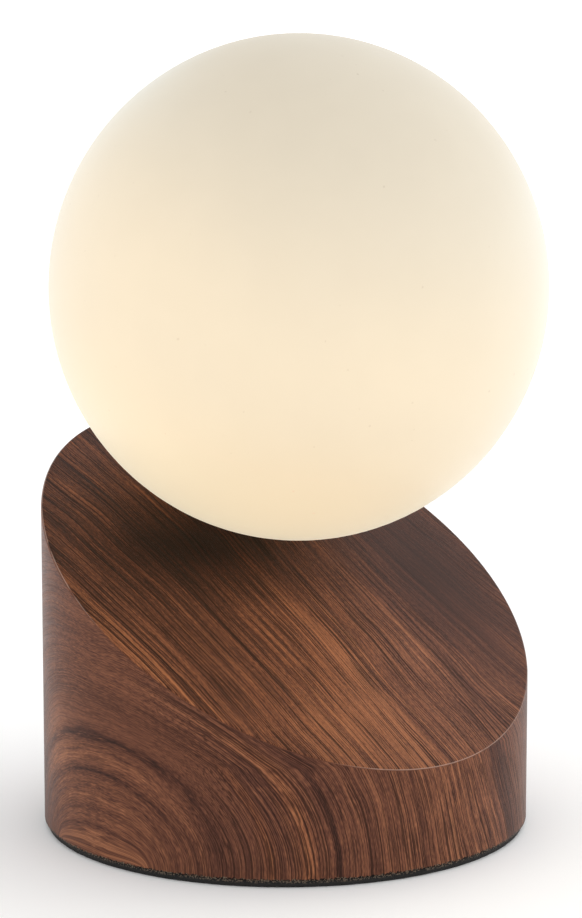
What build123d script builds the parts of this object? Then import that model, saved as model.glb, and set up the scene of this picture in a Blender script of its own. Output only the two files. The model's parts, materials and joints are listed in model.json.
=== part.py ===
from build123d import *

import os
from math import atan, cos, radians, sin, sqrt, tan

# Bedside lamp: an opal glass globe screwed into a sheet steel cylinder with a slanted top.
# Millimetres. The origin is the middle of the underside and +Z is up. The slanted face is
# lowest at -Y, and the cord comes in at +Y. Everything that carries the globe and the bulb
# lies on one axis, square to the slanted face. Heights along that axis are counted from the
# face, upwards out of the base.

# Base shell
base_diameter = 100.0
front_height = 20.0
rear_height = 85.0
shell_wall = 1.2
rim_round = 0.5

# Foot pad and bottom plate
pad_thickness = 1.4
pad_inset = 0.6
pad_screw_hole_radius = 4.5
plate_thickness = 2.0
plate_gap = 0.3

# Tabs in the shell that the bottom plate is screwed to
tab_count = 3
tab_width = 12.0
tab_reach = 10.0
tab_height = 10.0
tab_thickness = 1.5
tab_bend = 1.5
tab_weld_gap = 0.1
tab_screw_inset = 6.0

# Globe
globe_diameter = 100.0
globe_wall = 2.6
globe_sink = 1.0
neck_radius = 12.6
neck_wall = 2.3
neck_depth = 9.0
neck_blend = 0.8
neck_inner_blend = 2.0
neck_lip_round = 0.8

# Seal between the globe's shoulder and the cup
seal_width = 2.3
seal_neck_gap = 0.4
seal_hole_gap = 0.2
seal_globe_gap = 0.3

# Cup under the slanted face, which takes the globe's neck
cup_sheet = 1.0
cup_neck_gap = 0.4
cup_flange = 8.0
cup_bend = 0.7
cup_rear_gap = 2.8

# Lampholder: a ceramic body over a ceramic base, riveted to a bracket
holder_rise = 1.0
holder_length = 19.6
holder_width = 13.6
holder_body_height = 12.0
holder_base_height = 2.0
holder_edge_round = 0.8
pin_spacing = 9.0
mouth_length = 4.2
mouth_width = 1.8
mouth_depth = 3.0
chamber_length = 4.4
chamber_width = 4.4
contact_sheet = 0.4
contact_width = 3.4
contact_pin_gap = 0.1
contact_bow = 0.8
contact_bend = 0.4
contact_lip_gap = 0.4
contact_lip_height = 1.8
tail_width = 2.0
tail_gap = 0.2
tail_end = 1.6
rivet_radius = 1.1
rivet_head_radius = 1.8
rivet_head_height = 0.7
rivet_sink = 1.0
rivet_gap = 0.1

# Bracket that carries the lampholder, and the hollow nipple that clamps it to the cup
bracket_sheet = 1.0
bracket_height = 9.0
bracket_reach = 6.0
bracket_foot_width = 16.0
bracket_top_width = 6.0
bracket_bend = 1.5
nipple_radius = 5.0
nipple_bore_radius = 3.9
nipple_top = 2.0
nipple_tail = 3.5
nipple_chamfer = 0.5
thread_gap = 0.05
nipple_hole_gap = 0.15
washer_thickness = 0.8
washer_radius = 8.2
nut_thickness = 4.0
nut_flats = 14.0
nut_chamfer = 0.8

# Earth tag clamped by the nipple's nut
tag_thickness = 0.8
tag_radius = 7.8
tag_tongue_width = 3.0
tag_barrel_start = 12.0
tag_barrel_length = 5.0
tag_barrel_radius = 1.4
tag_wire_gap = 0.1
tag_wire_start = 1.0

# Wires
wire_radius = 0.75
arc_share = 0.45
wire_lay = 1.1
wire_drop = 1.6
wire_run_out = 4.0
wire_run_in = 8.0
wire_bite = 6.5
# Turns chosen by hand: the first from the nipple's end, the second from the mouth of the pole
live_turns = [(8.0, 2.0, -13.0), (13.0, 7.0, 7.0)]
neutral_turns = [(5.0, -1.0, -15.0), (16.0, 9.0, 9.0)]
earth_turns = [(30.0, -12.0, -4.0), (24.0, 6.0, 10.0)]

# Bulb
bulb_seat_gap = 0.1
bulb_plug_length = 13.6
bulb_plug_width = 7.6
bulb_plug_height = 6.0
bulb_radius = 7.5
bulb_base_height = 19.0
bulb_base_round = 1.0
bulb_length = 47.0
cover_step = 0.1
cover_wall = 0.9
pin_radius = 0.4
pin_loop_width = 2.6
pin_length = 9.0
pin_bend = 1.2
board_width = 9.0
board_thickness = 1.0
board_height = 23.0
chip_width = 2.8
chip_height = 3.5
chip_thickness = 0.6
chip_columns = 2
chip_rows = 4
chip_pitch_x = 4.0
chip_pitch_z = 5.0
chip_lift = 12.0

# Terminal block on the bottom plate
pole_count = 3
pole_pitch = 10.0
pole_width = 5.6
pole_length = 16.0
pole_height = 9.5
pole_round = 1.5
chimney_radius = 2.4
chimney_height = 12.0
chimney_spacing = 8.0
link_radius = 2.6
link_height = 5.0
sleeve_height = 6.0
sleeve_radius = 2.1
sleeve_bore_radius = 1.4
sleeve_inset = 0.8
sleeve_gap = 0.1
clamp_screw_radius = 1.2
clamp_screw_gap = 0.1
clamp_wire_gap = 0.1
clamp_screw_sink = 0.8
clamp_slot_width = 0.5
clamp_slot_depth = 0.7
block_screw_radius = 1.2
block_screw_head_radius = 2.0
block_screw_head_height = 1.5
block_screw_gap = 0.15
block_screw_round = 0.5
block_back = 16.0

# Ballast in the low half of the base
ballast_height = 12.0
ballast_tab_gap = 1.0
ballast_block_gap = 3.0
ballast_corner = 4.0
ballast_draft = 3.0
ballast_top_round = 1.0
ballast_screw_radius = 2.0
ballast_screw_head_radius = 3.75
ballast_screw_bite = 8.0
ballast_screw_spacing = 36.0
ballast_screw_front = 18.0

# Flat head screws of the bottom plate
cover_screw_radius = 1.5
cover_screw_head_radius = 2.8
cover_screw_end = 1.5
screw_gap = 0.1
cross_width = 0.7
cross_depth = 0.8

# Cord bush in the rear wall
bush_height = 12.0
bush_bore_radius = 3.1
bush_radius = 5.0
bush_hole_gap = 0.1
bush_flange_radius = 7.5
bush_flange = 2.0
bush_flange_round = 0.8
bush_tail = 8.0
bush_wall_gap = 0.05
bush_nut_thickness = 4.0
bush_nut_flats = 14.0

# Places worked out from the sizes above
base_radius = base_diameter / 2
inner_radius = base_radius - shell_wall
tilt = atan((rear_height - front_height) / base_diameter)
face_height = (front_height + rear_height) / 2
globe_radius = globe_diameter / 2
globe_height = globe_radius - globe_sink
neck_bore_radius = neck_radius - neck_wall
seal_inner_radius = neck_radius + seal_neck_gap
seal_outer_radius = seal_inner_radius + seal_width
face_hole_radius = seal_outer_radius + seal_hole_gap
cup_bore_radius = neck_radius + cup_neck_gap
cup_outer_radius = cup_bore_radius + cup_sheet
holder_joint = holder_rise - holder_body_height
holder_foot = holder_joint - holder_base_height
cup_floor = holder_foot - bracket_height
cup_underside = cup_floor - cup_sheet
seat_back = (
    inner_radius - cup_rear_gap + cup_underside * sin(tilt) - cup_outer_radius * cos(tilt)
)
plate_top = pad_thickness + plate_thickness
tab_leg = sqrt(inner_radius**2 - (tab_width / 2) ** 2) - tab_weld_gap
tab_screw_circle = tab_leg - tab_screw_inset

contact_pinch = pin_radius + contact_pin_gap + contact_sheet / 2
contact_belly = contact_pinch + contact_bow
contact_lip = holder_rise - mouth_depth - contact_lip_gap
contact_floor = holder_joint + contact_sheet / 2
contact_throat = contact_lip - contact_lip_height
contact_waist = (contact_throat + contact_floor) / 2
rivet_top = holder_rise - rivet_sink
rivet_foot = holder_foot - bracket_sheet
nipple_head = cup_floor + bracket_sheet + nipple_top
nipple_end = cup_underside - tag_thickness - washer_thickness - nut_thickness - nipple_tail
wire_start = holder_foot - tail_end - tag_wire_gap
bulb_bottom = holder_rise + bulb_seat_gap
bulb_top_of_base = bulb_bottom + bulb_base_height
cover_radius = bulb_radius - cover_step
dome_height = bulb_bottom + bulb_length - cover_radius
clamp_screw_foot = sleeve_height + wire_radius + clamp_wire_gap
clamp_screw_top = chimney_height - clamp_screw_sink
block_front = block_back - (pole_count - 1) * pole_pitch / 2 - pole_width / 2
ballast_radius = tab_leg - tab_reach - ballast_tab_gap
ballast_flat = block_front - ballast_block_gap
ballast_corner_x = sqrt(ballast_radius**2 - ballast_flat**2)
bush_sag = base_radius - sqrt(base_radius**2 - bush_flange_radius**2)
bush_nut_corner = bush_nut_flats / 2 + nut_chamfer
bush_nut_back = sqrt(inner_radius**2 - bush_nut_corner**2) - bush_wall_gap

tilted = {"x_dir": (1, 0, 0), "z_dir": (0, -sin(tilt), cos(tilt))}
face_plane = Plane(origin=(0, 0, face_height), **tilted)
seat = Plane(origin=(0, seat_back, face_height + seat_back * tan(tilt)), **tilted)
seat_axis = Axis(seat.origin, seat.z_dir)
# A plane through the globe's axis: its x is the radius, its y the height along the axis
section = Plane(origin=seat.origin, x_dir=seat.x_dir, z_dir=-seat.y_dir)
# The same axis seen from the side: its x runs up the slope
side = Plane(origin=seat.origin, x_dir=seat.y_dir, z_dir=seat.x_dir)
barrel_height = cup_underside - tag_barrel_radius - tag_wire_gap
barrel_plane = Plane(
    origin=seat.from_local_coords((tag_barrel_start, 0, barrel_height)), z_dir=seat.x_dir
)
underside = Plane(origin=(0, 0, pad_thickness), x_dir=(1, 0, 0), z_dir=(0, 0, -1))
rear = Plane(origin=(0, base_radius, bush_height), x_dir=(1, 0, 0), z_dir=(0, 1, 0))
block_plane = Plane(origin=(0, block_back, plate_top))
# Across the terminal block: its x runs along the row of poles
sleeve_plane = Plane(
    origin=(0, block_back, plate_top + sleeve_height), x_dir=(0, 1, 0), z_dir=(1, 0, 0)
)

os.makedirs("parts", exist_ok=True)


def write(builder, name):
    """Label a finished piece and write its STEP file."""
    builder.part.label = name
    export_step(builder.part, f"parts/{name}.step")


def globe_surface(radius):
    """Height of the globe's outside above the face, at a radius near its lowest point."""
    return globe_height - sqrt(globe_radius**2 - radius**2)


def pole_mouth(row):
    """Where a wire enters the terminal block, with row 0 in the middle of the block."""
    return Vector(pole_length / 2, block_back + row * pole_pitch, plate_top + sleeve_height)


def flat_head_screw(radius, head_radius, length):
    """A countersunk screw: its head ends at z = 0 and its shank points down."""
    with BuildPart() as screw:
        with BuildSketch(Plane.XZ):
            with BuildLine():
                Polyline(
                    (0, 0),
                    (head_radius, 0),
                    (radius, radius - head_radius),
                    (radius, -length),
                    (0, -length),
                    close=True,
                )
            make_face()
        revolve(axis=Axis.Z)
        with BuildSketch(Plane.XY):
            Rectangle(head_radius, cross_width)
            Rectangle(cross_width, head_radius)
        extrude(amount=-cross_depth, mode=Mode.SUBTRACT)
    return screw.part


def hex_nut(plane, flats, thickness, bore_radius):
    """A nut that grows from a plane, with its outer corners turned off."""
    with BuildPart() as nut:
        with BuildSketch(plane):
            RegularPolygon(radius=flats / 2, side_count=6, major_radius=False)
        extrude(amount=thickness)
        with BuildSketch(plane):
            Circle(flats / 2 + nut_chamfer)
        extrude(amount=thickness, mode=Mode.INTERSECT)
        with BuildSketch(plane):
            Circle(bore_radius)
        extrude(amount=thickness, mode=Mode.SUBTRACT)
    return nut


def wire(points):
    """A round wire along straight runs joined by the largest arcs that the runs allow."""
    corners = [Vector(point) for point in points]
    runs = [end - start for start, end in zip(corners, corners[1:])]
    radii = []
    for before, after in zip(runs, runs[1:]):
        shorter = min(before.length, after.length)
        radii.append(arc_share * shorter / tan(radians(before.get_angle(after)) / 2))
    with BuildPart() as body:
        with BuildLine() as route:
            FilletPolyline(*corners, radius=radii)
        with BuildSketch(Plane(origin=corners[0], z_dir=runs[0])):
            Circle(wire_radius)
        sweep(path=route.wire())
    return body


# Base shell: a tube with a slanted top, open below
with BuildPart() as base_shell:
    with BuildSketch(Plane.XY.offset(pad_thickness)):
        Circle(base_radius)
    extrude(amount=rear_height)
    split(bisect_by=face_plane, keep=Keep.BOTTOM)
    offset(amount=-shell_wall, openings=base_shell.faces().sort_by(Axis.Z)[0])
    slanted_faces = base_shell.faces().filter_by(face_plane)
    fillet(slanted_faces.sort_by(seat_axis)[-1].edges(), rim_round)
    with BuildSketch(seat):
        Circle(face_hole_radius)
    extrude(amount=-2 * shell_wall, mode=Mode.SUBTRACT)
    with BuildSketch(Plane.XZ.offset(-base_radius - bush_flange)):
        with Locations((0, bush_height)):
            Circle(bush_radius + bush_hole_gap)
    extrude(amount=bush_flange + bush_tail, mode=Mode.SUBTRACT)
write(base_shell, "base_shell")

# Foot pad with holes that leave the plate's screws within reach
with BuildPart() as foot_pad:
    with BuildSketch():
        Circle(base_radius - pad_inset)
        with PolarLocations(tab_screw_circle, tab_count):
            Circle(pad_screw_hole_radius, mode=Mode.SUBTRACT)
    extrude(amount=pad_thickness)
write(foot_pad, "foot_pad")

# Bottom plate, countersunk from below
with BuildPart() as bottom_plate:
    with BuildSketch(Plane.XY.offset(pad_thickness)):
        Circle(inner_radius - plate_gap)
    extrude(amount=plate_thickness)
    with Locations(underside):
        with PolarLocations(tab_screw_circle, tab_count):
            CounterSinkHole(
                cover_screw_radius + screw_gap,
                cover_screw_head_radius + screw_gap,
                counter_sink_angle=90,
            )
        with Locations((0, ballast_screw_front)):
            with GridLocations(ballast_screw_spacing, 0, 2, 1):
                CounterSinkHole(
                    ballast_screw_radius + screw_gap,
                    ballast_screw_head_radius + screw_gap,
                    counter_sink_angle=90,
                )
    with Locations(block_plane):
        with GridLocations(0, pole_pitch, 1, pole_count - 1):
            Hole(block_screw_radius + block_screw_gap)
write(bottom_plate, "bottom_plate")

# Angle tabs welded into the shell above the bottom plate
with BuildPart() as one_tab:
    with BuildSketch(Plane.XZ):
        with BuildLine():
            FilletPolyline(
                (tab_leg - tab_reach, plate_top + tab_thickness / 2),
                (tab_leg - tab_thickness / 2, plate_top + tab_thickness / 2),
                (tab_leg - tab_thickness / 2, plate_top + tab_height),
                radius=tab_bend,
            )
        trace(line_width=tab_thickness)
    extrude(amount=tab_width / 2, both=True)
    with Locations((tab_screw_circle, 0, plate_top)):
        Hole(cover_screw_radius + screw_gap)

with BuildPart() as cover_tabs:
    with PolarLocations(0, tab_count):
        add(one_tab.part)
write(cover_tabs, "cover_tabs")

cover_screw = flat_head_screw(
    cover_screw_radius,
    cover_screw_head_radius,
    plate_thickness + tab_thickness + cover_screw_end,
)
with BuildPart() as cover_screws:
    with Locations(underside):
        with PolarLocations(tab_screw_circle, tab_count):
            add(cover_screw)
write(cover_screws, "cover_screws")

# Ballast: a drafted half disc of cast iron, screwed down from below
with BuildPart() as ballast:
    with BuildSketch(Plane.XY.offset(plate_top)) as ballast_outline:
        with BuildLine():
            ThreePointArc(
                (-ballast_corner_x, ballast_flat),
                (0, -ballast_radius),
                (ballast_corner_x, ballast_flat),
            )
            Line((ballast_corner_x, ballast_flat), (-ballast_corner_x, ballast_flat))
        make_face()
        fillet(ballast_outline.vertices(), ballast_corner)
    extrude(amount=ballast_height, taper=ballast_draft)
    fillet(ballast.faces().sort_by(Axis.Z)[-1].edges(), ballast_top_round)
    with Locations(underside.offset(-plate_thickness)):
        with Locations((0, ballast_screw_front)):
            with GridLocations(ballast_screw_spacing, 0, 2, 1):
                Hole(ballast_screw_radius + screw_gap, ballast_screw_bite + screw_gap)
write(ballast, "ballast")

ballast_screw = flat_head_screw(
    ballast_screw_radius,
    ballast_screw_head_radius,
    plate_thickness + ballast_screw_bite,
)
with BuildPart() as ballast_screws:
    with Locations(underside):
        with Locations((0, ballast_screw_front)):
            with GridLocations(ballast_screw_spacing, 0, 2, 1):
                add(ballast_screw)
write(ballast_screws, "ballast_screws")

# Cord bush: its flange is hollowed to sit on the round wall
with BuildPart() as cord_bush:
    with BuildSketch(rear.offset(bush_flange)):
        Circle(bush_flange_radius)
    extrude(amount=-bush_flange - bush_sag)
    fillet(cord_bush.faces().sort_by(Axis.Y)[-1].edges(), bush_flange_round)
    with BuildSketch():
        Circle(base_radius + bush_wall_gap)
    extrude(amount=rear_height, mode=Mode.SUBTRACT)
    with BuildSketch(rear.offset(bush_flange / 2)):
        Circle(bush_radius)
    extrude(amount=-bush_flange / 2 - bush_tail)
    with BuildSketch(rear.offset(bush_flange)):
        Circle(bush_bore_radius)
    extrude(amount=-bush_flange - bush_tail, mode=Mode.SUBTRACT)
write(cord_bush, "cord_bush")

bush_nut_plane = Plane(origin=(0, bush_nut_back, bush_height), x_dir=(1, 0, 0), z_dir=(0, -1, 0))
cord_bush_nut = hex_nut(bush_nut_plane, bush_nut_flats, bush_nut_thickness, bush_radius + thread_gap)
write(cord_bush_nut, "cord_bush_nut")

# Globe: a blown ball drawn out into a short neck
with BuildPart() as globe:
    with BuildSketch(section) as globe_profile:
        with Locations((0, globe_height)):
            Circle(globe_radius)
        with Locations((0, -neck_depth)):
            Rectangle(2 * neck_radius, globe_height, align=(Align.CENTER, Align.MIN))
        with Locations((0, globe_height)):
            Circle(globe_radius - globe_wall, mode=Mode.SUBTRACT)
        with Locations((0, -neck_depth)):
            Rectangle(
                2 * neck_bore_radius,
                globe_height,
                align=(Align.CENTER, Align.MIN),
                mode=Mode.SUBTRACT,
            )
        Rectangle(
            globe_diameter,
            2 * globe_diameter,
            align=(Align.MAX, Align.CENTER),
            mode=Mode.SUBTRACT,
        )
        shoulder = globe_profile.vertices().sort_by_distance((neck_radius, globe_surface(neck_radius)))[0]
        fillet(shoulder, neck_blend)
        throat = globe_profile.vertices().sort_by_distance((neck_bore_radius, globe_wall))[0]
        fillet(throat, neck_inner_blend)
        fillet(globe_profile.vertices().group_by(Axis.Y)[0], neck_lip_round)
    revolve(axis=seat_axis)
write(globe, "globe")

# Seal: its dished top follows the globe
with BuildPart() as globe_seal:
    with BuildSketch(section):
        with BuildLine():
            Polyline(
                (seal_inner_radius, -shell_wall),
                (seal_outer_radius, -shell_wall),
                (seal_outer_radius, globe_surface(seal_outer_radius) - seal_globe_gap),
                (seal_inner_radius, globe_surface(seal_inner_radius) - seal_globe_gap),
                close=True,
            )
        make_face()
    revolve(axis=seat_axis)
write(globe_seal, "globe_seal")

# Holder cup, drawn from sheet, welded by its flange to the inside of the slanted face
with BuildPart() as holder_cup:
    with BuildSketch(section):
        with BuildLine():
            FilletPolyline(
                (cup_outer_radius + cup_flange, -shell_wall - cup_sheet / 2),
                (cup_bore_radius + cup_sheet / 2, -shell_wall - cup_sheet / 2),
                (cup_bore_radius + cup_sheet / 2, cup_floor - cup_sheet / 2),
                (nipple_radius + nipple_hole_gap, cup_floor - cup_sheet / 2),
                radius=cup_bend,
            )
        trace(line_width=cup_sheet)
    revolve(axis=seat_axis)
write(holder_cup, "holder_cup")

# Lampholder body: slots for the pins, chambers for the contacts, a hole for the rivet
with BuildPart() as lampholder_body:
    with BuildSketch(seat.offset(holder_rise)):
        SlotOverall(holder_length, holder_width)
    extrude(amount=-holder_body_height)
    fillet(lampholder_body.faces().sort_by(seat_axis)[-1].edges(), holder_edge_round)
    with BuildSketch(seat.offset(holder_rise)):
        with GridLocations(pin_spacing, 0, 2, 1):
            Rectangle(mouth_length, mouth_width)
        Circle(rivet_radius + rivet_gap)
    extrude(amount=-holder_body_height, mode=Mode.SUBTRACT)
    with BuildSketch(seat.offset(holder_joint)):
        with GridLocations(pin_spacing, 0, 2, 1):
            Rectangle(chamber_length, chamber_width)
    extrude(amount=holder_body_height - mouth_depth, mode=Mode.SUBTRACT)
    with BuildSketch(seat.offset(holder_rise)):
        Circle(rivet_head_radius + rivet_gap)
    extrude(amount=-rivet_sink, mode=Mode.SUBTRACT)
write(lampholder_body, "lampholder_body")

# Lampholder base, which closes the chambers and lets the contacts' tails through
with BuildPart() as lampholder_base:
    with BuildSketch(seat.offset(holder_joint)):
        SlotOverall(holder_length, holder_width)
        with GridLocations(pin_spacing, 0, 2, 1):
            Rectangle(tail_width + 2 * tail_gap, contact_sheet + 2 * tail_gap, mode=Mode.SUBTRACT)
        Circle(rivet_radius + rivet_gap, mode=Mode.SUBTRACT)
    extrude(amount=-holder_base_height)
write(lampholder_base, "lampholder_base")

# Contacts: spring clips that pinch the bulb's pins, with tails for the wires
with BuildPart() as lampholder_contacts:
    for place in (-pin_spacing / 2, pin_spacing / 2):
        with BuildSketch(side.offset(place)):
            with BuildLine():
                FilletPolyline(
                    (-contact_belly, contact_lip),
                    (-contact_pinch, contact_throat),
                    (-contact_belly, contact_waist),
                    (-contact_pinch, contact_floor),
                    (contact_pinch, contact_floor),
                    (contact_belly, contact_waist),
                    (contact_pinch, contact_throat),
                    (contact_belly, contact_lip),
                    radius=contact_bend,
                )
            trace(line_width=contact_sheet)
        extrude(amount=contact_width / 2, both=True)
    with BuildSketch(seat.offset(holder_joint + contact_sheet)):
        with GridLocations(pin_spacing, 0, 2, 1):
            Rectangle(tail_width, contact_sheet)
    extrude(amount=-contact_sheet - holder_base_height - tail_end)
write(lampholder_contacts, "lampholder_contacts")

# Rivet through both ceramic pieces and the bracket
with BuildPart() as lampholder_rivet:
    with BuildSketch(seat.offset(rivet_top)):
        Circle(rivet_radius)
    extrude(amount=rivet_foot - rivet_top)
    with BuildSketch(seat.offset(rivet_top)):
        Circle(rivet_head_radius)
    extrude(amount=rivet_head_height)
    with BuildSketch(seat.offset(rivet_foot)):
        Circle(rivet_head_radius)
    extrude(amount=-rivet_head_height)
write(lampholder_rivet, "lampholder_rivet")

# Bracket: a strip bent into a C, narrow above where the wires come past
with BuildPart() as lampholder_bracket:
    with BuildSketch(side):
        with BuildLine():
            FilletPolyline(
                (-bracket_reach, holder_foot - bracket_sheet / 2),
                (bracket_reach, holder_foot - bracket_sheet / 2),
                (bracket_reach, cup_floor + bracket_sheet / 2),
                (-bracket_foot_width / 2, cup_floor + bracket_sheet / 2),
                radius=bracket_bend,
            )
        trace(line_width=bracket_sheet)
    extrude(amount=bracket_foot_width / 2, both=True)
    with BuildSketch(section):
        with Locations((0, cup_floor + 2 * bracket_sheet)):
            with GridLocations(bracket_top_width + bracket_foot_width, 0, 2, 1):
                Rectangle(bracket_foot_width, bracket_height, align=(Align.CENTER, Align.MIN))
    extrude(amount=bracket_foot_width, both=True, mode=Mode.SUBTRACT)
    with BuildSketch(seat.offset(cup_floor)):
        Circle(nipple_radius + thread_gap)
    extrude(amount=2 * bracket_sheet, mode=Mode.SUBTRACT)
    with BuildSketch(seat.offset(holder_foot)):
        Circle(rivet_radius + rivet_gap)
    extrude(amount=-2 * bracket_sheet, mode=Mode.SUBTRACT)
write(lampholder_bracket, "lampholder_bracket")

# Hollow nipple through the bracket and the cup's floor, with what it clamps
with BuildPart() as nipple:
    with BuildSketch(seat.offset(nipple_head)):
        Circle(nipple_radius)
    extrude(amount=nipple_end - nipple_head)
    chamfer(nipple.edges().filter_by(GeomType.CIRCLE), nipple_chamfer)
    with BuildSketch(seat.offset(nipple_head)):
        Circle(nipple_bore_radius)
    extrude(amount=nipple_end - nipple_head, mode=Mode.SUBTRACT)
write(nipple, "nipple")

with BuildPart() as earth_tag:
    with BuildSketch(seat.offset(cup_underside)):
        Circle(tag_radius)
        Rectangle(
            tag_barrel_start + tag_barrel_radius,
            tag_tongue_width,
            align=(Align.MIN, Align.CENTER),
        )
        Circle(nipple_radius + nipple_hole_gap, mode=Mode.SUBTRACT)
    extrude(amount=-tag_thickness)
    with BuildSketch(barrel_plane):
        Circle(tag_barrel_radius)
    extrude(amount=tag_barrel_length)
    with BuildSketch(barrel_plane):
        Circle(wire_radius + tag_wire_gap)
    extrude(amount=tag_barrel_length, mode=Mode.SUBTRACT)
write(earth_tag, "earth_tag")

with BuildPart() as nipple_washer:
    with BuildSketch(seat.offset(cup_underside - tag_thickness)):
        Circle(washer_radius)
        Circle(nipple_radius + nipple_hole_gap, mode=Mode.SUBTRACT)
    extrude(amount=-washer_thickness)
write(nipple_washer, "nipple_washer")

nut_seat = seat.offset(cup_underside - tag_thickness - washer_thickness)
nut_plane = Plane(origin=nut_seat.origin, x_dir=seat.x_dir, z_dir=-seat.z_dir)
nipple_nut = hex_nut(nut_plane, nut_flats, nut_thickness, nipple_radius + thread_gap)
write(nipple_nut, "nipple_nut")

# Bulb
with BuildPart() as bulb_base:
    with BuildSketch(seat.offset(bulb_bottom + bulb_plug_height)):
        Circle(bulb_radius)
    extrude(amount=bulb_base_height - bulb_plug_height)
    fillet(bulb_base.faces().sort_by(seat_axis)[0].edges(), bulb_base_round)
    with BuildSketch(seat.offset(bulb_bottom)):
        SlotOverall(bulb_plug_length, bulb_plug_width)
    extrude(amount=bulb_plug_height + bulb_base_round)
write(bulb_base, "bulb_base")

with BuildPart() as bulb_pins:
    for place in (-pin_spacing / 2, pin_spacing / 2):
        left = place - pin_loop_width / 2
        right = place + pin_loop_width / 2
        with BuildLine(section) as loop:
            FilletPolyline(
                (left, bulb_bottom),
                (left, bulb_bottom - pin_length),
                (right, bulb_bottom - pin_length),
                (right, bulb_bottom),
                radius=pin_bend,
            )
        with BuildSketch(Plane(origin=section.from_local_coords((left, bulb_bottom, 0)), z_dir=seat.z_dir)):
            Circle(pin_radius)
        sweep(path=loop.wire())
write(bulb_pins, "bulb_pins")

with BuildPart() as bulb_cover:
    with BuildSketch(section):
        with BuildLine():
            Line((cover_radius, bulb_top_of_base), (cover_radius, dome_height))
            CenterArc((0, dome_height), cover_radius, 0, 90)
            Line((0, dome_height + cover_radius), (0, dome_height + cover_radius - cover_wall))
            CenterArc((0, dome_height), cover_radius - cover_wall, 0, 90)
            Line((cover_radius - cover_wall, dome_height), (cover_radius - cover_wall, bulb_top_of_base))
            Line((cover_radius - cover_wall, bulb_top_of_base), (cover_radius, bulb_top_of_base))
        make_face()
    revolve(axis=seat_axis)
write(bulb_cover, "bulb_cover")

with BuildPart() as led_board:
    with BuildSketch(seat.offset(bulb_top_of_base)):
        Rectangle(board_width, board_thickness)
    extrude(amount=board_height)
write(led_board, "led_board")

with BuildPart() as led_chips:
    for face in (-1, 1):
        with BuildSketch(section.offset(face * board_thickness / 2)):
            with Locations((0, bulb_top_of_base + chip_lift)):
                with GridLocations(chip_pitch_x, chip_pitch_z, chip_columns, chip_rows):
                    Rectangle(chip_width, chip_height)
        extrude(amount=face * chip_thickness)
write(led_chips, "led_chips")

# Terminal block: three poles, each with a brass sleeve and two clamp screws
with BuildPart() as terminal_block:
    with BuildSketch(block_plane):
        with GridLocations(0, pole_pitch, 1, pole_count):
            Rectangle(pole_length, pole_width)
    extrude(amount=pole_height)
    pole_edges = terminal_block.edges().filter_by(Axis.X).group_by(Axis.Z)[-1]
    fillet(pole_edges, pole_round)
    with BuildSketch(block_plane):
        with GridLocations(chimney_spacing, pole_pitch, 2, pole_count):
            Circle(chimney_radius)
    extrude(amount=chimney_height)
    with BuildSketch(block_plane):
        with GridLocations(0, pole_pitch, 1, pole_count - 1):
            Circle(link_radius)
    extrude(amount=link_height)
    with BuildSketch(sleeve_plane):
        with GridLocations(pole_pitch, 0, pole_count, 1):
            Circle(sleeve_radius + sleeve_gap)
    extrude(amount=pole_length / 2, both=True, mode=Mode.SUBTRACT)
    with BuildSketch(block_plane.offset(sleeve_height)):
        with GridLocations(chimney_spacing, pole_pitch, 2, pole_count):
            Circle(clamp_screw_radius + clamp_screw_gap)
    extrude(amount=chimney_height - sleeve_height, mode=Mode.SUBTRACT)
    with BuildSketch(block_plane):
        with GridLocations(0, pole_pitch, 1, pole_count - 1):
            Circle(block_screw_radius + block_screw_gap)
    extrude(amount=link_height, mode=Mode.SUBTRACT)
write(terminal_block, "terminal_block")

with BuildPart() as terminal_sleeves:
    with BuildSketch(sleeve_plane):
        with GridLocations(pole_pitch, 0, pole_count, 1):
            Circle(sleeve_radius)
            Circle(sleeve_bore_radius, mode=Mode.SUBTRACT)
    extrude(amount=pole_length / 2 - sleeve_inset, both=True)
    with BuildSketch(block_plane.offset(sleeve_height)):
        with GridLocations(chimney_spacing, pole_pitch, 2, pole_count):
            Circle(clamp_screw_radius + clamp_screw_gap)
    extrude(amount=chimney_height, mode=Mode.SUBTRACT)
write(terminal_sleeves, "terminal_sleeves")

with BuildPart() as terminal_screws:
    with BuildSketch(block_plane.offset(clamp_screw_foot)):
        with GridLocations(chimney_spacing, pole_pitch, 2, pole_count):
            Circle(clamp_screw_radius)
    extrude(amount=clamp_screw_top - clamp_screw_foot)
    with BuildSketch(block_plane.offset(clamp_screw_top)):
        with GridLocations(chimney_spacing, pole_pitch, 2, pole_count):
            Rectangle(2 * clamp_screw_radius, clamp_slot_width)
    extrude(amount=-clamp_slot_depth, mode=Mode.SUBTRACT)
write(terminal_screws, "terminal_screws")

with BuildPart() as block_screws:
    with BuildSketch(block_plane.offset(link_height)):
        with GridLocations(0, pole_pitch, 1, pole_count - 1):
            Circle(block_screw_head_radius)
    extrude(amount=block_screw_head_height)
    fillet(block_screws.faces().group_by(Axis.Z)[-1].edges(), block_screw_round)
    with BuildSketch(block_plane.offset(link_height)):
        with GridLocations(0, pole_pitch, 1, pole_count - 1):
            Circle(block_screw_radius)
    extrude(amount=-link_height - plate_thickness)
write(block_screws, "block_screws")

# Wires from the lampholder through the nipple to the terminal block
def holder_end(place):
    """The start of a wire: from a contact's tail into the nipple and out at its end."""
    lay = wire_lay if place > 0 else -wire_lay
    return [
        seat.from_local_coords((place, 0, wire_start)),
        seat.from_local_coords((place, 0, wire_start - wire_drop)),
        seat.from_local_coords((lay, 0, nipple_head - wire_drop)),
        seat.from_local_coords((lay, 0, nipple_end - wire_run_out)),
    ]


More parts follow.
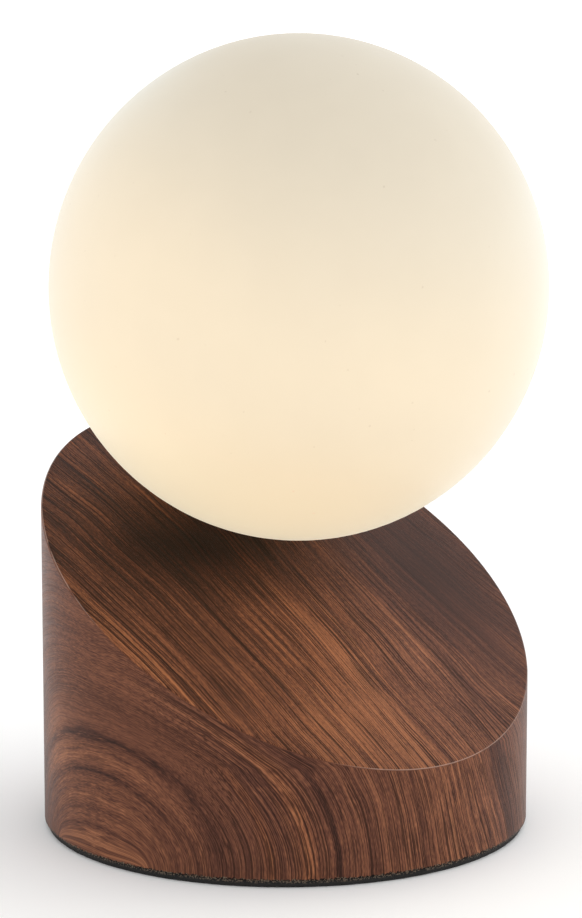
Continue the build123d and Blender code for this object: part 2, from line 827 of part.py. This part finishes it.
def pole_end(turns, row):
    """The rest of a wire: its two turns, then straight into a pole of the terminal block."""
    nipple_mouth = seat.from_local_coords((0, 0, nipple_end))
    mouth = pole_mouth(row)
    return [
        nipple_mouth + Vector(turns[0]),
        mouth + Vector(turns[1]),
        mouth + Vector(wire_run_in, 0, 0),
        mouth - Vector(wire_bite, 0, 0),
    ]


live_wire = wire(holder_end(pin_spacing / 2) + pole_end(live_turns, 1))
write(live_wire, "live_wire")

neutral_wire = wire(holder_end(-pin_spacing / 2) + pole_end(neutral_turns, 0))
write(neutral_wire, "neutral_wire")

earth_start = [
    barrel_plane.origin + seat.x_dir * tag_wire_start,
    barrel_plane.origin + seat.x_dir * (tag_barrel_length + wire_run_out),
]
earth_wire = wire(earth_start + pole_end(earth_turns, -1))
write(earth_wire, "earth_wire")
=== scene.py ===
import json
from math import cos, pi, radians, sin

import bmesh
import bpy
from mathutils import Euler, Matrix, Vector, noise


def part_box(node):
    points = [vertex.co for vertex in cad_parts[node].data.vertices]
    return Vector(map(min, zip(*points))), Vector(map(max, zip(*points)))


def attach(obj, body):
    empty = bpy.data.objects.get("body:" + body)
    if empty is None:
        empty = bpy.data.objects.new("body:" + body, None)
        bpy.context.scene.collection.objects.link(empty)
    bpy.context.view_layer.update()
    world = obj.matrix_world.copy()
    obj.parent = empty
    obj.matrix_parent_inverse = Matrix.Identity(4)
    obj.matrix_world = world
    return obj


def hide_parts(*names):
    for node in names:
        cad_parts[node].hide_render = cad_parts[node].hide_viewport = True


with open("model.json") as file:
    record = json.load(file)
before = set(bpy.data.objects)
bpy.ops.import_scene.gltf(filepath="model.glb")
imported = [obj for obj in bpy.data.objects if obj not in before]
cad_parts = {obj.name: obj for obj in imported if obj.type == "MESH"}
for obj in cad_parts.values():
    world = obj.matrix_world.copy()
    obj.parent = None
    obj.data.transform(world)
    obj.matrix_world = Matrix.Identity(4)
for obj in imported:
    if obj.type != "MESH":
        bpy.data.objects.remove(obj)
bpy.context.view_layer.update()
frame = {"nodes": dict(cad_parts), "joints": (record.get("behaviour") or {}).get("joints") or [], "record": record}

# Lengths are metres, in the part's own frame: +Z up, the slanted face lowest at -Y.
MM = 0.001

# The globe's axis, square to the slanted face, and where it meets the face
turn = next(joint for joint in frame["joints"] if joint["name"] == "globe_turn")
AXIS = Vector(turn["axis"])
SEAT = Vector(turn["pos_m"])

shell_low, shell_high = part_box("base_shell")
globe_low, globe_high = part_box("globe")
BASE_RADIUS = (shell_high.x - shell_low.x) / 2
PAD_TOP = shell_low.z
GLOBE_RADIUS = (globe_high.x - globe_low.x) / 2
GLOBE_CENTRE = SEAT + AXIS * ((globe_high.z - GLOBE_RADIUS - SEAT.z) / AXIS.z)

# Foot pad: three holes leave the plate's screws within reach; the edges are rounded by the die
PAD_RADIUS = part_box("foot_pad")[1].x
PAD_HOLE_CIRCLE = 42.33 * MM
PAD_HOLE_RADIUS = 4.5 * MM
PAD_HOLES = 3
PAD_ROUND = 0.3 * MM
PAD_RAGGED = 0.12 * MM
PAD_STEPS = 288
PAD_HOLE_STEPS = 48

# The screw thread round the globe's neck, as depths below the slanted face
NECK_RADIUS = 12.6 * MM
THREAD_PITCH = 4.0 * MM
THREAD_START = 8.0 * MM
THREAD_END = 2.0 * MM
THREAD_WIDTH = 1.8 * MM
THREAD_HEIGHT = 0.28 * MM
THREAD_FADE = radians(40)
THREAD_STEPS = 144
THREAD_POINTS = 9

# Camera, fitted to the outlines in the photograph
CAMERA_PLACE = Vector((-0.15938, -0.25067, 0.08333))
CAMERA_HEADING = radians(-32.67)
CAMERA_PITCH = radians(-4.168)
CAMERA_LENS = 56.24
CAMERA_SENSOR = 36.0
CAMERA_SHIFT = 0.0652
CAMERA_NEAR = 0.01
CAMERA_FAR = 20.0

# The white room, dimmer overhead, and the soft brighter side that lights the globe from the right
ROOM_LIGHT = 1.27
CEILING_LOSS = 0.44
WINDOW_LIGHT = 0.55
WINDOW_WAY = Vector((0.86, -0.28, 0.42)).normalized()
FLOOR_HALF = 3.0


def srgb(red, green, blue):
    """A colour written as 0 to 255, as linear values with full alpha."""
    def linear(value):
        value /= 255
        return value / 12.92 if value <= 0.04045 else ((value + 0.055) / 1.055) ** 2.4

    return (linear(red), linear(green), linear(blue), 1.0)


def plug(tree, slot, value):
    """Set a node's input to a constant, or join a field or a socket to it."""
    if isinstance(value, Field):
        tree.links.new(value.socket, slot)
    elif isinstance(value, bpy.types.NodeSocket):
        tree.links.new(value, slot)
    else:
        slot.default_value = value


class Field:
    """A number that varies over a surface, made of shader nodes by plain arithmetic."""

    def __init__(self, tree, socket):
        self.tree = tree
        self.socket = socket

    def math(self, operation, *others):
        node = self.tree.nodes.new("ShaderNodeMath")
        node.operation = operation
        for slot, value in zip(node.inputs, (self, *others)):
            plug(self.tree, slot, value)
        return Field(self.tree, node.outputs[0])

    def __add__(self, other):
        return self.math("ADD", other)

    def __sub__(self, other):
        return self.math("SUBTRACT", other)

    def __rsub__(self, other):
        return self.math("MULTIPLY_ADD", -1.0, other)

    def __mul__(self, other):
        return self.math("MULTIPLY", other)

    def __truediv__(self, other):
        return self.math("DIVIDE", other)

    def __neg__(self):
        return self.math("MULTIPLY", -1.0)

    def __abs__(self):
        return self.math("ABSOLUTE")

    __radd__ = __add__
    __rmul__ = __mul__

    def hypot(self, other):
        """The long side of a right triangle with this number and the other as its short sides."""
        return (self * self + other * other).math("SQRT")

    def above(self, floor):
        """How far the number is above a floor, or 0 below it."""
        return (self - floor).math("MAXIMUM", 0.0)

    def step(self, low, high):
        """A smooth step from 0 at low to 1 at high; low may be the larger one."""
        node = self.tree.nodes.new("ShaderNodeMapRange")
        node.interpolation_type = "SMOOTHSTEP"
        for name, value in (("Value", self), ("From Min", low), ("From Max", high)):
            plug(self.tree, node.inputs[name], value)
        return Field(self.tree, node.outputs["Result"])

    def blend(self, other, share):
        """This number where share is 0, the other where it is 1."""
        return (other - self).math("MULTIPLY_ADD", share, self)

    def hump(self, middle, width):
        """A soft bump of height 1 around a middle value."""
        off = (self - middle) / width
        return (off * -off).math("EXPONENT")


class Paint:
    """A material in the making: places, noises and colours that end in one shader."""

    def __init__(self, name, **values):
        self.material = bpy.data.materials.new(name)
        self.material.use_nodes = True
        self.tree = self.material.node_tree
        self.shader = self.tree.nodes["Principled BSDF"]
        coordinates = self.tree.nodes.new("ShaderNodeTexCoord")
        split = self.tree.nodes.new("ShaderNodeSeparateXYZ")
        self.tree.links.new(coordinates.outputs["Object"], split.inputs[0])
        self.x, self.y, self.z = (Field(self.tree, socket) for socket in split.outputs)
        self.set(**values)

    def set(self, **values):
        """Give the shader its values: Base_Color=..., Roughness=... and so on."""
        for name, value in values.items():
            plug(self.tree, self.shader.inputs[name.replace("_", " ")], value)

    def along(self, direction, origin):
        """How far a point lies along a direction from an origin."""
        total = self.x * direction.x + self.y * direction.y + self.z * direction.z
        return total - origin.dot(direction)

    def noise(self, u, v=0.0, w=0.0, detail=2.0, roughness=0.5):
        """Soft noise around 0.5, about one blob for each unit of u, v and w."""
        join = self.tree.nodes.new("ShaderNodeCombineXYZ")
        for slot, value in zip(join.inputs, (u, v, w)):
            plug(self.tree, slot, value)
        node = self.tree.nodes.new("ShaderNodeTexNoise")
        self.tree.links.new(join.outputs[0], node.inputs["Vector"])
        for name, value in (("Scale", 1.0), ("Detail", detail), ("Roughness", roughness)):
            node.inputs[name].default_value = value
        return Field(self.tree, node.outputs[0])

    def grain(self, size, detail=2.0, roughness=0.5):
        """Noise of one size in all directions."""
        return self.noise(self.x / size, self.y / size, self.z / size, detail, roughness)

    def mix(self, share, first, second, blend="MIX"):
        """One colour where share is 0 and another where it is 1."""
        node = self.tree.nodes.new("ShaderNodeMix")
        node.data_type = "RGBA"
        node.blend_type = blend
        for slot, value in ((0, share), (6, first), (7, second)):
            plug(self.tree, node.inputs[slot], value)
        return node.outputs[2]

    def ramp(self, share, *stops):
        """A colour read off a scale of (place, colour) stops."""
        node = self.tree.nodes.new("ShaderNodeValToRGB")
        scale = node.color_ramp.elements
        while len(scale) < len(stops):
            scale.new(1.0)
        for element, (place, colour) in zip(scale, stops):
            element.position = place
            element.color = colour
        plug(self.tree, node.inputs[0], share)
        return node.outputs["Color"]

    def dust(self):
        """Scattered specks of 0 or 1, with soft edges."""
        return self.grain(0.3 * MM, 1.0).step(0.5, 0.6)

    def bump(self, height, depth):
        """Raise the surface by a field times a depth in metres."""
        node = self.tree.nodes.new("ShaderNodeBump")
        node.inputs["Strength"].default_value = 1.0
        node.inputs["Distance"].default_value = depth
        plug(self.tree, node.inputs["Height"], height)
        self.tree.links.new(node.outputs["Normal"], self.shader.inputs["Normal"])


# Wood print, in millimetres. The grain follows the level lines of a layer number: on the slanted face
# lines that run down the slope, round the side flattened arches about a foot point on the left.
FACE_LEAN = 0.13
FACE_SLOPE_LENGTH = 1.19
ARCH_ANGLE = radians(78)
ARCH_DRIFT = radians(0.65)
ARCH_STRAIGHT = 20.0
ARCH_SPREAD = 1.15
ARCH_FOCUS = 11.0
FAR_LEAN = radians(10)
FAR_HEIGHT = 25.0
RIM = 0.5
SIDE_START = 300.0
WALNUT = (
    (0.00, srgb(34, 21, 18)),
    (0.25, srgb(57, 36, 30)),
    (0.45, srgb(81, 50, 40)),
    (0.62, srgb(103, 65, 50)),
    (0.80, srgb(127, 82, 61)),
    (1.00, srgb(153, 102, 74)),
)
WALNUT_WARM = srgb(255, 241, 217)
WALNUT_PORE = srgb(32, 18, 13)
# Colour multiplied into the face round the globe's seat: a painted shadow of the globe
WALNUT_PAINTED_SHADOW = srgb(122, 80, 50)
# Pale colour of the rim line: a painted highlight on the rounded edge
RIM_PAINTED_HIGHLIGHT = srgb(188, 160, 146)
CUT_EDGE = srgb(16, 13, 11)
CUT_DUST = srgb(116, 100, 84)


def spot(x, y, middle, half):
    """A soft round or oval place, 1 in its middle."""
    return x.hump(middle[0], half[0]) * y.hump(middle[1], half[1])


def face_grain(x, y):
    """Layer and length along the grain on the slanted face."""
    lean = FACE_LEAN + (-x).above(0.0) * 0.006 + x.above(20.0) * 0.008
    return x + lean * y, y * FACE_SLOPE_LENGTH


def side_grain(angle, z):
    """Arches round the side, which are confocal ellipses.

    Gives the layer, the length along the grain, the climb from the foot and the reach from
    the middle of the arches.
    """
    centre = ARCH_ANGLE + z.above(ARCH_STRAIGHT) * ARCH_DRIFT
    turned = abs((angle - centre).math("WRAP", pi, -pi))
    far = turned.step(radians(60), radians(100)) * turned.step(radians(170), radians(120))
    turned = turned + far * (z / FAR_HEIGHT).math("TANH") * FAR_LEAN
    across = turned * (BASE_RADIUS / MM / ARCH_SPREAD)
    near_focus = (across - ARCH_FOCUS).hypot(z)
    far_focus = (across + ARCH_FOCUS).hypot(z)
    half = (near_focus + far_focus) * 0.5
    layer = (half * half - ARCH_FOCUS ** 2).math("MAXIMUM", 0.0).math("SQRT")
    climb = z.math("ARCTAN2", across)
    return layer, layer * climb, climb, across


def wood_print():
    """Dark walnut grain on the shell's outside, bare steel on its inside."""
    paint = Paint("wood_print", Specular_IOR_Level=0.08)
    x, y, z = (place / MM for place in (paint.x, paint.y, paint.z))
    height = z - PAD_TOP / MM
    depth = paint.along(-AXIS, SEAT) / MM
    radius = x.hypot(y)
    angle = (-x).math("ARCTAN2", -y)
    on_side = depth.step(0.25 * RIM, 0.6 * RIM)

    swirl = paint.noise(x / 24, y / 24, z / 24, 1.0) - 0.5
    ripple = paint.noise(x / 6, y / 6, z / 6, 1.0) - 0.5
    face_layer, face_along = face_grain(x, y)
    side_layer, side_along, climb, reach = side_grain(angle, height)
    front = reach.step(12.0, 28.0)
    waver = 0.25 + on_side * (0.5 - front * 0.45)
    layer = face_layer.blend(side_layer, on_side) + swirl * 3.0 + ripple * waver
    along = face_along.blend(side_along + SIDE_START, on_side)

    # Long noises across and along the grain; the third number only sets each one apart from the others
    broad = paint.noise(layer / 5.0, along / 90, 3.1, 1.0) - 0.5
    streak = paint.noise(layer / 1.2, along / 80, 7.7, 1.0) - 0.5
    thread = paint.noise(layer / 0.45, along / 50, 1.3, 2.0, 0.6) - 0.5
    force = paint.noise(layer / 6.0, along / 30, 4.4, 1.0).step(0.35, 0.65)
    veins = abs(paint.noise(layer / 2.0, along / 70, 8.2, 1.0) - 0.5).step(0.03, 0.0)
    pores = paint.noise(layer / 0.15, along * (0.07 + on_side * (0.1 - front * 0.06)), 5.9, 0.0)
    flecks = paint.noise(layer / 0.25, along / 1.6, 6.6, 1.0) - 0.5
    ragged = paint.noise(layer / 0.7, along / 3, 9.4, 2.0)
    lines = paint.noise(layer / 0.24, along / 45, 2.2, 0.0)
    grit = paint.noise(layer / 0.12, along / 0.9, 7.1, 0.0) - 0.5

    # Places on the face that are darker, lighter or calmer in the photograph
    plain = spot(x, y, (34.0, -8.0), (14.0, 26.0))
    patch = spot(x, y, (27.0, -33.0), (7.0, 13.0))
    # Painted shadow: the face is darker and redder round where the globe sits
    painted_globe_shadow = spot(x, y, (-17.0, 6.0), (20.0, 11.0))
    light = spot(x, y, (-14.0, -40.0), (12.0, 12.0))
    dull = spot(x, y, (16.0, -38.0), (8.0, 9.0))
    orange_face = face_layer.hump(-50.0, 2.5) * 0.11 + face_layer.hump(-40.0, 1.5) * 0.06
    face_tone = (
        orange_face
        + face_layer.hump(-1.0, 16.0) * y.step(8.0, -20.0) * 0.18
        + y.step(12.0, -30.0) * 0.12
        - face_layer.hump(-2.0, 0.7) * 0.2
        - plain * 0.34
        # painted shadow of the globe, lowering the tone
        - painted_globe_shadow * 0.22
        + patch * 0.06
        + light * 0.25
        - face_layer.hump(-38.0, 9.0) * 0.1
        - dull * 0.09
        + 0.05
    )

    # Round the side: dark arcs about the foot point, and the orange and dark bands of their right legs
    leg = climb.step(radians(55), radians(30)) * front
    arc = climb.step(radians(12), radians(45))
    orange_leg = leg * (side_layer.hump(30.5, 0.9) + side_layer.hump(36.8, 1.6)) * 0.22
    side_tone = (
        side_layer.step(5.0, 4.0) * 0.12
        + side_layer.step(28.0, 10.0) * 0.14
        - side_layer.hump(5.6, 0.5) * 0.2
        - side_layer.hump(9.0, 0.7) * 0.15
        - side_layer.hump(16.0, 1.0) * arc * 0.3
        + side_layer.hump(19.0, 1.5) * 0.1
        - side_layer.hump(22.8, 1.1) * arc * 0.3
        - side_layer.hump(20.0, 8.0) * (1.0 - arc) * 0.13
        + orange_leg
        - leg * side_layer.hump(33.4, 1.8) * climb.step(radians(5), radians(30)) * 0.2
        - leg * side_layer.hump(42.0, 3.0) * 0.15
        + side_layer.hump(66.0, 12.0) * 0.18
    ) * ragged.step(0.3, 0.6) * 1.2
    # Lighter patch on the left of the side: a painted highlight of the grazing sheen, on lighter print
    left_painted_sheen_and_print = spot(angle, height, (radians(95), 20.0), (radians(9), 9.0))
    side_tone = side_tone + left_painted_sheen_and_print * 0.25 - side_layer.hump(80.5, 2.2) * 0.32 + 0.13

    # How strongly each noise shows on the face and on the side
    face_pattern = (
        broad * 0.38
        + streak * 0.65
        + grit * 0.6
        + thread * (0.45 + force * 0.8)
        + flecks * 0.4
        - veins * 0.15
    ) * (1.0 - plain * 0.75)
    side_pattern = (
        broad * 0.22
        + streak * (0.2 + front * 0.3)
        + grit * 0.5
        + thread * (0.2 + front * 0.5)
        + flecks * (0.5 - front * 0.36)
        - veins * 0.06
    ) * (1.0 - side_layer.hump(26.0, 6.0) * 0.4)
    tone = face_tone.blend(side_tone, on_side) + face_pattern.blend(side_pattern, on_side) + 0.5
    warmth = (x.step(20.0, -15.0) * 0.6 + orange_face).blend(orange_leg * 2.0, on_side) + 0.2
    colour = paint.ramp(tone, *WALNUT)
    colour = paint.mix(warmth, colour, WALNUT_WARM, "MULTIPLY")
    clear = (1.0 - plain * 0.75).blend(0.35 + front * 0.5, on_side)
    short_dashes = pores.step(0.57, 0.63) * 0.8
    long_lines = lines.step(0.59, 0.63) * 0.85
    dash = short_dashes.math("MAXIMUM", long_lines) * clear
    colour = paint.mix(dash, colour, WALNUT_PORE)
    # Painted shadow of the globe, multiplied into the face's colour
    colour = paint.mix(painted_globe_shadow * (1.0 - on_side), colour, WALNUT_PAINTED_SHADOW, "MULTIPLY")

    # The painted highlight along the rim's rounded edge, the ragged lower edge, and the bare steel inside
    wall = BASE_RADIUS / MM
    edge = radius.step(wall - RIM, wall - 0.3 * RIM) * depth.hump(0.3 * RIM, 0.11 * RIM)
    # Painted highlight along the rim: left out on part of the rim, broken up by noise elsewhere
    rim_without_highlight = angle.step(radians(10), radians(25)) * angle.step(radians(90), radians(70))
    rim_highlight = (1.0 - rim_without_highlight) * paint.noise(angle * 9.0, 0.0, 2.0, 2.0).step(0.3, 0.5)
    colour = paint.mix(edge * rim_highlight * 0.6, colour, RIM_PAINTED_HIGHLIGHT)
    cut = (height + paint.noise(angle * 90.0, z / 0.5, 4.0, 2.0) * 1.2).step(0.95, 0.75)
    colour = paint.mix(cut, colour, paint.mix(paint.dust() * 0.7, CUT_EDGE, CUT_DUST))
    inside = radius.step(wall - 0.6, wall - 0.8) * depth.step(0.6, 0.8)
    steel = paint.mix(paint.grain(3.0 * MM), srgb(120, 121, 122), srgb(150, 150, 150))
    colour = paint.mix(inside, colour, steel)

    paint.set(Base_Color=colour, Metallic=inside * 0.9, Roughness=0.36 + thread * 0.2 + dash * 0.1)
    paint.bump((thread * 0.4 - dash) * (1.0 - inside), 0.012 * MM)
    return paint.material


# Opal glass: its own light, weak at the top and stronger near the bulb, and that light's colours
GLOW_ALL_OVER = 0.28
GLOW_CLOUDS = 0.08
GLOW_NEAR_BULB = 0.5
GLOW_COLOUR = (1.0, 0.70, 0.35, 1.0)
GLOW_COLOUR_NEAR_BULB = (1.0, 0.795, 0.49, 1.0)

# The satin skin's soft white edge, weak at the top and stronger round the sides
SHEEN_TOP = 0.1
SHEEN_SIDES = 0.4
SHEEN_COLOUR = (0.82, 0.95, 1.0, 1.0)


def opal_glass():
    """Satin white glass with its own warm light; the neck below the seal stays unlit."""
    paint = Paint("opal_glass", Roughness=0.5, Sheen_Roughness=0.5, Sheen_Tint=SHEEN_COLOUR)
    rise = paint.along(AXIS, GLOBE_CENTRE) / GLOBE_RADIUS
    above_seal = rise.step(-0.985, -0.94)
    near_bulb = rise.step(0.1, -0.85) * above_seal
    cloud = paint.grain(30 * MM, 2.0) - 0.5
    speck = paint.grain(1.1 * MM, 0.0).step(0.84, 0.9)
    colour = paint.mix(paint.grain(9 * MM), srgb(203, 193, 174), srgb(207, 197, 178))
    colour = paint.mix(near_bulb, colour, srgb(162, 155, 139))
    colour = paint.mix(speck * 0.25, colour, srgb(150, 130, 105))
    glow = (GLOW_ALL_OVER + cloud * GLOW_CLOUDS) * rise.step(1.05, 0.05) * above_seal
    glow = glow + near_bulb * GLOW_NEAR_BULB
    warm = paint.mix(near_bulb, GLOW_COLOUR, GLOW_COLOUR_NEAR_BULB)
    sheen = SHEEN_TOP + rise.step(0.9, 0.6) * SHEEN_SIDES
    paint.set(Base_Color=colour, Emission_Color=warm, Emission_Strength=glow, Sheen_Weight=sheen)
    return paint.material


def black_foam():
    """Closed-cell foam, dusty along its upper edge."""
    paint = Paint("black_foam", Roughness=0.9)
    cells = paint.grain(0.4 * MM)
    colour = paint.mix(cells, srgb(8, 8, 8), srgb(30, 29, 28))
    dust = paint.dust() * paint.z.step(0.4 * PAD_TOP, 0.8 * PAD_TOP)
    colour = paint.mix(dust * 0.8, colour, srgb(122, 106, 90))
    paint.set(Base_Color=colour)
    paint.bump(cells, 0.05 * MM)
    return paint.material


def metal(name, dark, light, roughness):
    """Bare or plated metal: faint blotches and fine drawn lines."""
    paint = Paint(name, Metallic=1.0)
    lines = paint.noise(paint.x / (0.15 * MM), paint.y / (2.5 * MM), paint.z / (2.5 * MM)) - 0.5
    paint.set(
        Base_Color=paint.mix(paint.grain(2.5 * MM, 3.0), dark, light),
        Roughness=roughness + lines * 0.15,
    )
    paint.bump(lines, 0.01 * MM)
    return paint.material


def moulding(name, dark, light, roughness, skin=0.35 * MM, depth=0.012 * MM):
    """A moulded, pressed or cast piece: fine skin texture, slightly uneven colour."""
    paint = Paint(name)
    texture = paint.grain(skin, 3.0)
    paint.set(
        Base_Color=paint.mix(paint.grain(4 * MM), dark, light),
        Roughness=roughness + (texture - 0.5) * 0.15,
    )
    paint.bump(texture, depth)
    return paint.material


def earth_sleeve():
    """Green and yellow wire insulation."""
    paint = Paint("earth_sleeve", Roughness=0.5)
    turns = (paint.x + paint.y + paint.z) / (3.0 * MM)
    band = turns.math("FRACT").math("PINGPONG", 0.5).step(0.2, 0.3)
    colour = paint.mix(band, srgb(30, 105, 45), srgb(222, 196, 30))
    paint.set(Base_Color=paint.mix(paint.grain(2 * MM) * 0.2, colour, srgb(20, 40, 20)))
    return paint.material


BULB_LIGHT = (1.0, 0.78, 0.48, 1.0)


def lit(name, dark, light, strength):
    """A surface of the bulb that glows, slightly unevenly."""
    paint = Paint(name, Roughness=0.45, Emission_Color=BULB_LIGHT)
    uneven = paint.grain(2 * MM)
    paint.set(
        Base_Color=paint.mix(uneven, dark, light),
        Emission_Strength=strength * (0.8 + uneven * 0.4),
    )
    return paint.material


finishes = {
    "wood_print": wood_print(),
    "opal_glass": opal_glass(),
    "black_foam": black_foam(),
    "plated_steel": metal("plated_steel", srgb(190, 192, 194), srgb(214, 215, 215), 0.35),
    "tinned_steel": metal("tinned_steel", srgb(205, 206, 206), srgb(224, 224, 222), 0.25),
    "spring_bronze": metal("spring_bronze", srgb(190, 140, 95), srgb(214, 164, 112), 0.3),
    "brass": metal("brass", srgb(200, 165, 92), srgb(226, 192, 112), 0.28),
    "ballast_iron": moulding("ballast_iron", srgb(38, 38, 39), srgb(56, 55, 54), 0.75, 0.8 * MM, 0.08 * MM),
    "black_nylon": moulding("black_nylon", srgb(18, 18, 18), srgb(30, 30, 30), 0.55),
    "white_nylon": moulding("white_nylon", srgb(232, 229, 218), srgb(240, 238, 229), 0.45),
    "steatite": moulding("steatite", srgb(232, 226, 212), srgb(243, 239, 228), 0.65, 0.25 * MM, 0.02 * MM),
    "silicone": moulding("silicone", srgb(224, 217, 202), srgb(236, 230, 217), 0.5),
    "brown_sleeve": moulding("brown_sleeve", srgb(88, 48, 26), srgb(104, 60, 34), 0.5),
    "blue_sleeve": moulding("blue_sleeve", srgb(34, 84, 160), srgb(46, 98, 178), 0.5),
    "earth_sleeve": earth_sleeve(),
    "bulb_plastic": moulding("bulb_plastic", srgb(236, 234, 228), srgb(244, 242, 237), 0.3),
    "board_white": moulding("board_white", srgb(234, 234, 230), srgb(243, 243, 240), 0.4),
    "bulb_frost": lit("bulb_frost", srgb(240, 238, 230), srgb(248, 246, 240), 0.9),
    "phosphor": lit("phosphor", srgb(232, 196, 78), srgb(244, 212, 98), 1.0),
}
for part in frame["record"]["subparts"]:
    surface = frame["nodes"][part["node"]].data
    surface.materials.clear()
    surface.materials.append(finishes[part["material_slot"]])


def ring(shape, centre, radius, height, count, ragged=0.0):
    """A closed loop of points about an upright axis; ragged cuts it back here and there."""
    points = []
    for step in range(count):
        turned = 2 * pi * step / count
        way = Vector((cos(turned), sin(turned), 0))
        bite = ragged * abs(noise.noise(way * 30 + Vector((0, 0, height / PAD_ROUND))))
        points.append(shape.verts.new(centre + way * (radius - bite) + Vector((0, 0, height))))
    return points


def join_rings(shape, rings):
    """Faces between each loop of points and the next."""
    for first, second in zip(rings, rings[1:]):
        for here in range(len(first)):
            there = (here + 1) % len(first)
            shape.faces.new((first[here], first[there], second[there], second[here])).smooth = True


def loop_edges(shape, loop):
    """The edges that close a loop of points."""
    return [shape.edges.get((loop[here - 1], loop[here])) for here in range(len(loop))]


def finish_piece(shape, name, body, slot):
    """Turn a built shape into a piece of the scene that rides on a body."""
    bmesh.ops.recalc_face_normals(shape, faces=shape.faces)
    mesh = bpy.data.meshes.new(name)
    shape.to_mesh(mesh)
    shape.free()
    mesh.materials.append(finishes[slot])
    piece = bpy.data.objects.new(name, mesh)
    bpy.context.scene.collection.objects.link(piece)
    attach(piece, body)
    return piece


def foam_pad():
    """The pad under the base: die-cut foam, with rounded and slightly ragged edges."""
    shape = bmesh.new()
    rounding = [(1.0, 0.0), (0.5, 0.13), (0.13, 0.5), (0.0, 1.0)]
    profile = [(inset * PAD_ROUND, height * PAD_ROUND) for inset, height in rounding]
    profile += [(inset, PAD_TOP - height) for inset, height in reversed(profile)]
    caps = [[], []]

    def wall(centre, radius, way, count, ragged):
        rings = [
            ring(shape, centre, radius - way * inset, height, count, ragged)
            for inset, height in profile
        ]
        join_rings(shape, rings)
        for cap, loop in zip(caps, (rings[0], rings[-1])):
            cap.extend(loop_edges(shape, loop))

    wall(Vector(), PAD_RADIUS, 1, PAD_STEPS, PAD_RAGGED)
    for number in range(PAD_HOLES):
        turned = 2 * pi * number / PAD_HOLES
        centre = Vector((cos(turned), sin(turned), 0)) * PAD_HOLE_CIRCLE
        wall(centre, PAD_HOLE_RADIUS, -1, PAD_HOLE_STEPS, 0.0)
    for cap in caps:
        bmesh.ops.triangle_fill(shape, use_beauty=True, edges=cap)
    pad = finish_piece(shape, "foam_pad", "base", "black_foam")
    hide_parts("foot_pad")


def neck_thread():
    """The rounded screw thread blown on the globe's neck, fading out at both ends."""
    shape = bmesh.new()
    side = AXIS.orthogonal().normalized()
    other = AXIS.cross(side)
    length = 2 * pi * (THREAD_START - THREAD_END) / THREAD_PITCH
    spread = [2 * place / (THREAD_POINTS - 1) - 1 for place in range(THREAD_POINTS)]
    rings = []
    for step in range(THREAD_STEPS + 1):
        turned = length * step / THREAD_STEPS
        fade = min(1.0, turned / THREAD_FADE, (length - turned) / THREAD_FADE)
        way = side * cos(turned) + other * sin(turned)
        rise = AXIS * (THREAD_PITCH * turned / (2 * pi) - THREAD_START)
        outline = [(place, THREAD_HEIGHT * fade * cos(place * pi / 2) ** 2) for place in spread]
        outline += [(1.0, -THREAD_HEIGHT), (-1.0, -THREAD_HEIGHT)]
        middle = SEAT + rise + way * NECK_RADIUS
        rings.append([
            shape.verts.new(middle + AXIS * (place * THREAD_WIDTH / 2) + way * height)
            for place, height in outline
        ])
    join_rings(shape, rings)
    shape.faces.new(rings[0])
    shape.faces.new(rings[-1])
    finish_piece(shape, "neck_thread", "globe", "opal_glass")


foam_pad()
neck_thread()


def studio():
    """A white room, brighter on the right, and a pale floor."""
    scene = bpy.context.scene
    scene.view_settings.view_transform = "Standard"
    world = bpy.data.worlds.new("studio")
    scene.world = world
    world.use_nodes = True
    tree = world.node_tree
    coordinates = tree.nodes.new("ShaderNodeTexCoord")
    split = tree.nodes.new("ShaderNodeSeparateXYZ")
    tree.links.new(coordinates.outputs["Generated"], split.inputs[0])
    x, y, z = (Field(tree, socket) for socket in split.outputs)
    to_window = x * WINDOW_WAY.x + y * WINDOW_WAY.y + z * WINDOW_WAY.z
    back = tree.nodes["Background"]
    back.inputs["Color"].default_value = (1, 1, 1, 1)
    room = ROOM_LIGHT - z.step(0.1, 1.0) * CEILING_LOSS
    plug(tree, back.inputs["Strength"], room + to_window.step(0.1, 1.0) * WINDOW_LIGHT)

    mesh = bpy.data.meshes.new("floor")
    corners = [(x * FLOOR_HALF, y * FLOOR_HALF, 0) for x, y in ((-1, -1), (1, -1), (1, 1), (-1, 1))]
    mesh.from_pydata(corners, [], [(0, 1, 2, 3)])
    floor = bpy.data.objects.new("floor", mesh)
    scene.collection.objects.link(floor)
    paint = Paint("floor_paint", Roughness=0.9)
    paint.set(Base_Color=paint.mix(paint.grain(0.2), srgb(248, 248, 248), srgb(250, 250, 250)))
    mesh.materials.append(paint.material)


def camera():
    """A camera at the photograph's angle."""
    data = bpy.data.cameras.new("camera")
    data.lens = CAMERA_LENS
    data.sensor_width = CAMERA_SENSOR
    data.shift_y = CAMERA_SHIFT
    data.clip_start = CAMERA_NEAR
    data.clip_end = CAMERA_FAR
    holder = bpy.data.objects.new("camera", data)
    holder.location = CAMERA_PLACE
    holder.rotation_euler = Euler((pi / 2 + CAMERA_PITCH, 0, CAMERA_HEADING))
    bpy.context.scene.collection.objects.link(holder)
    bpy.context.scene.camera = holder


studio()
camera()
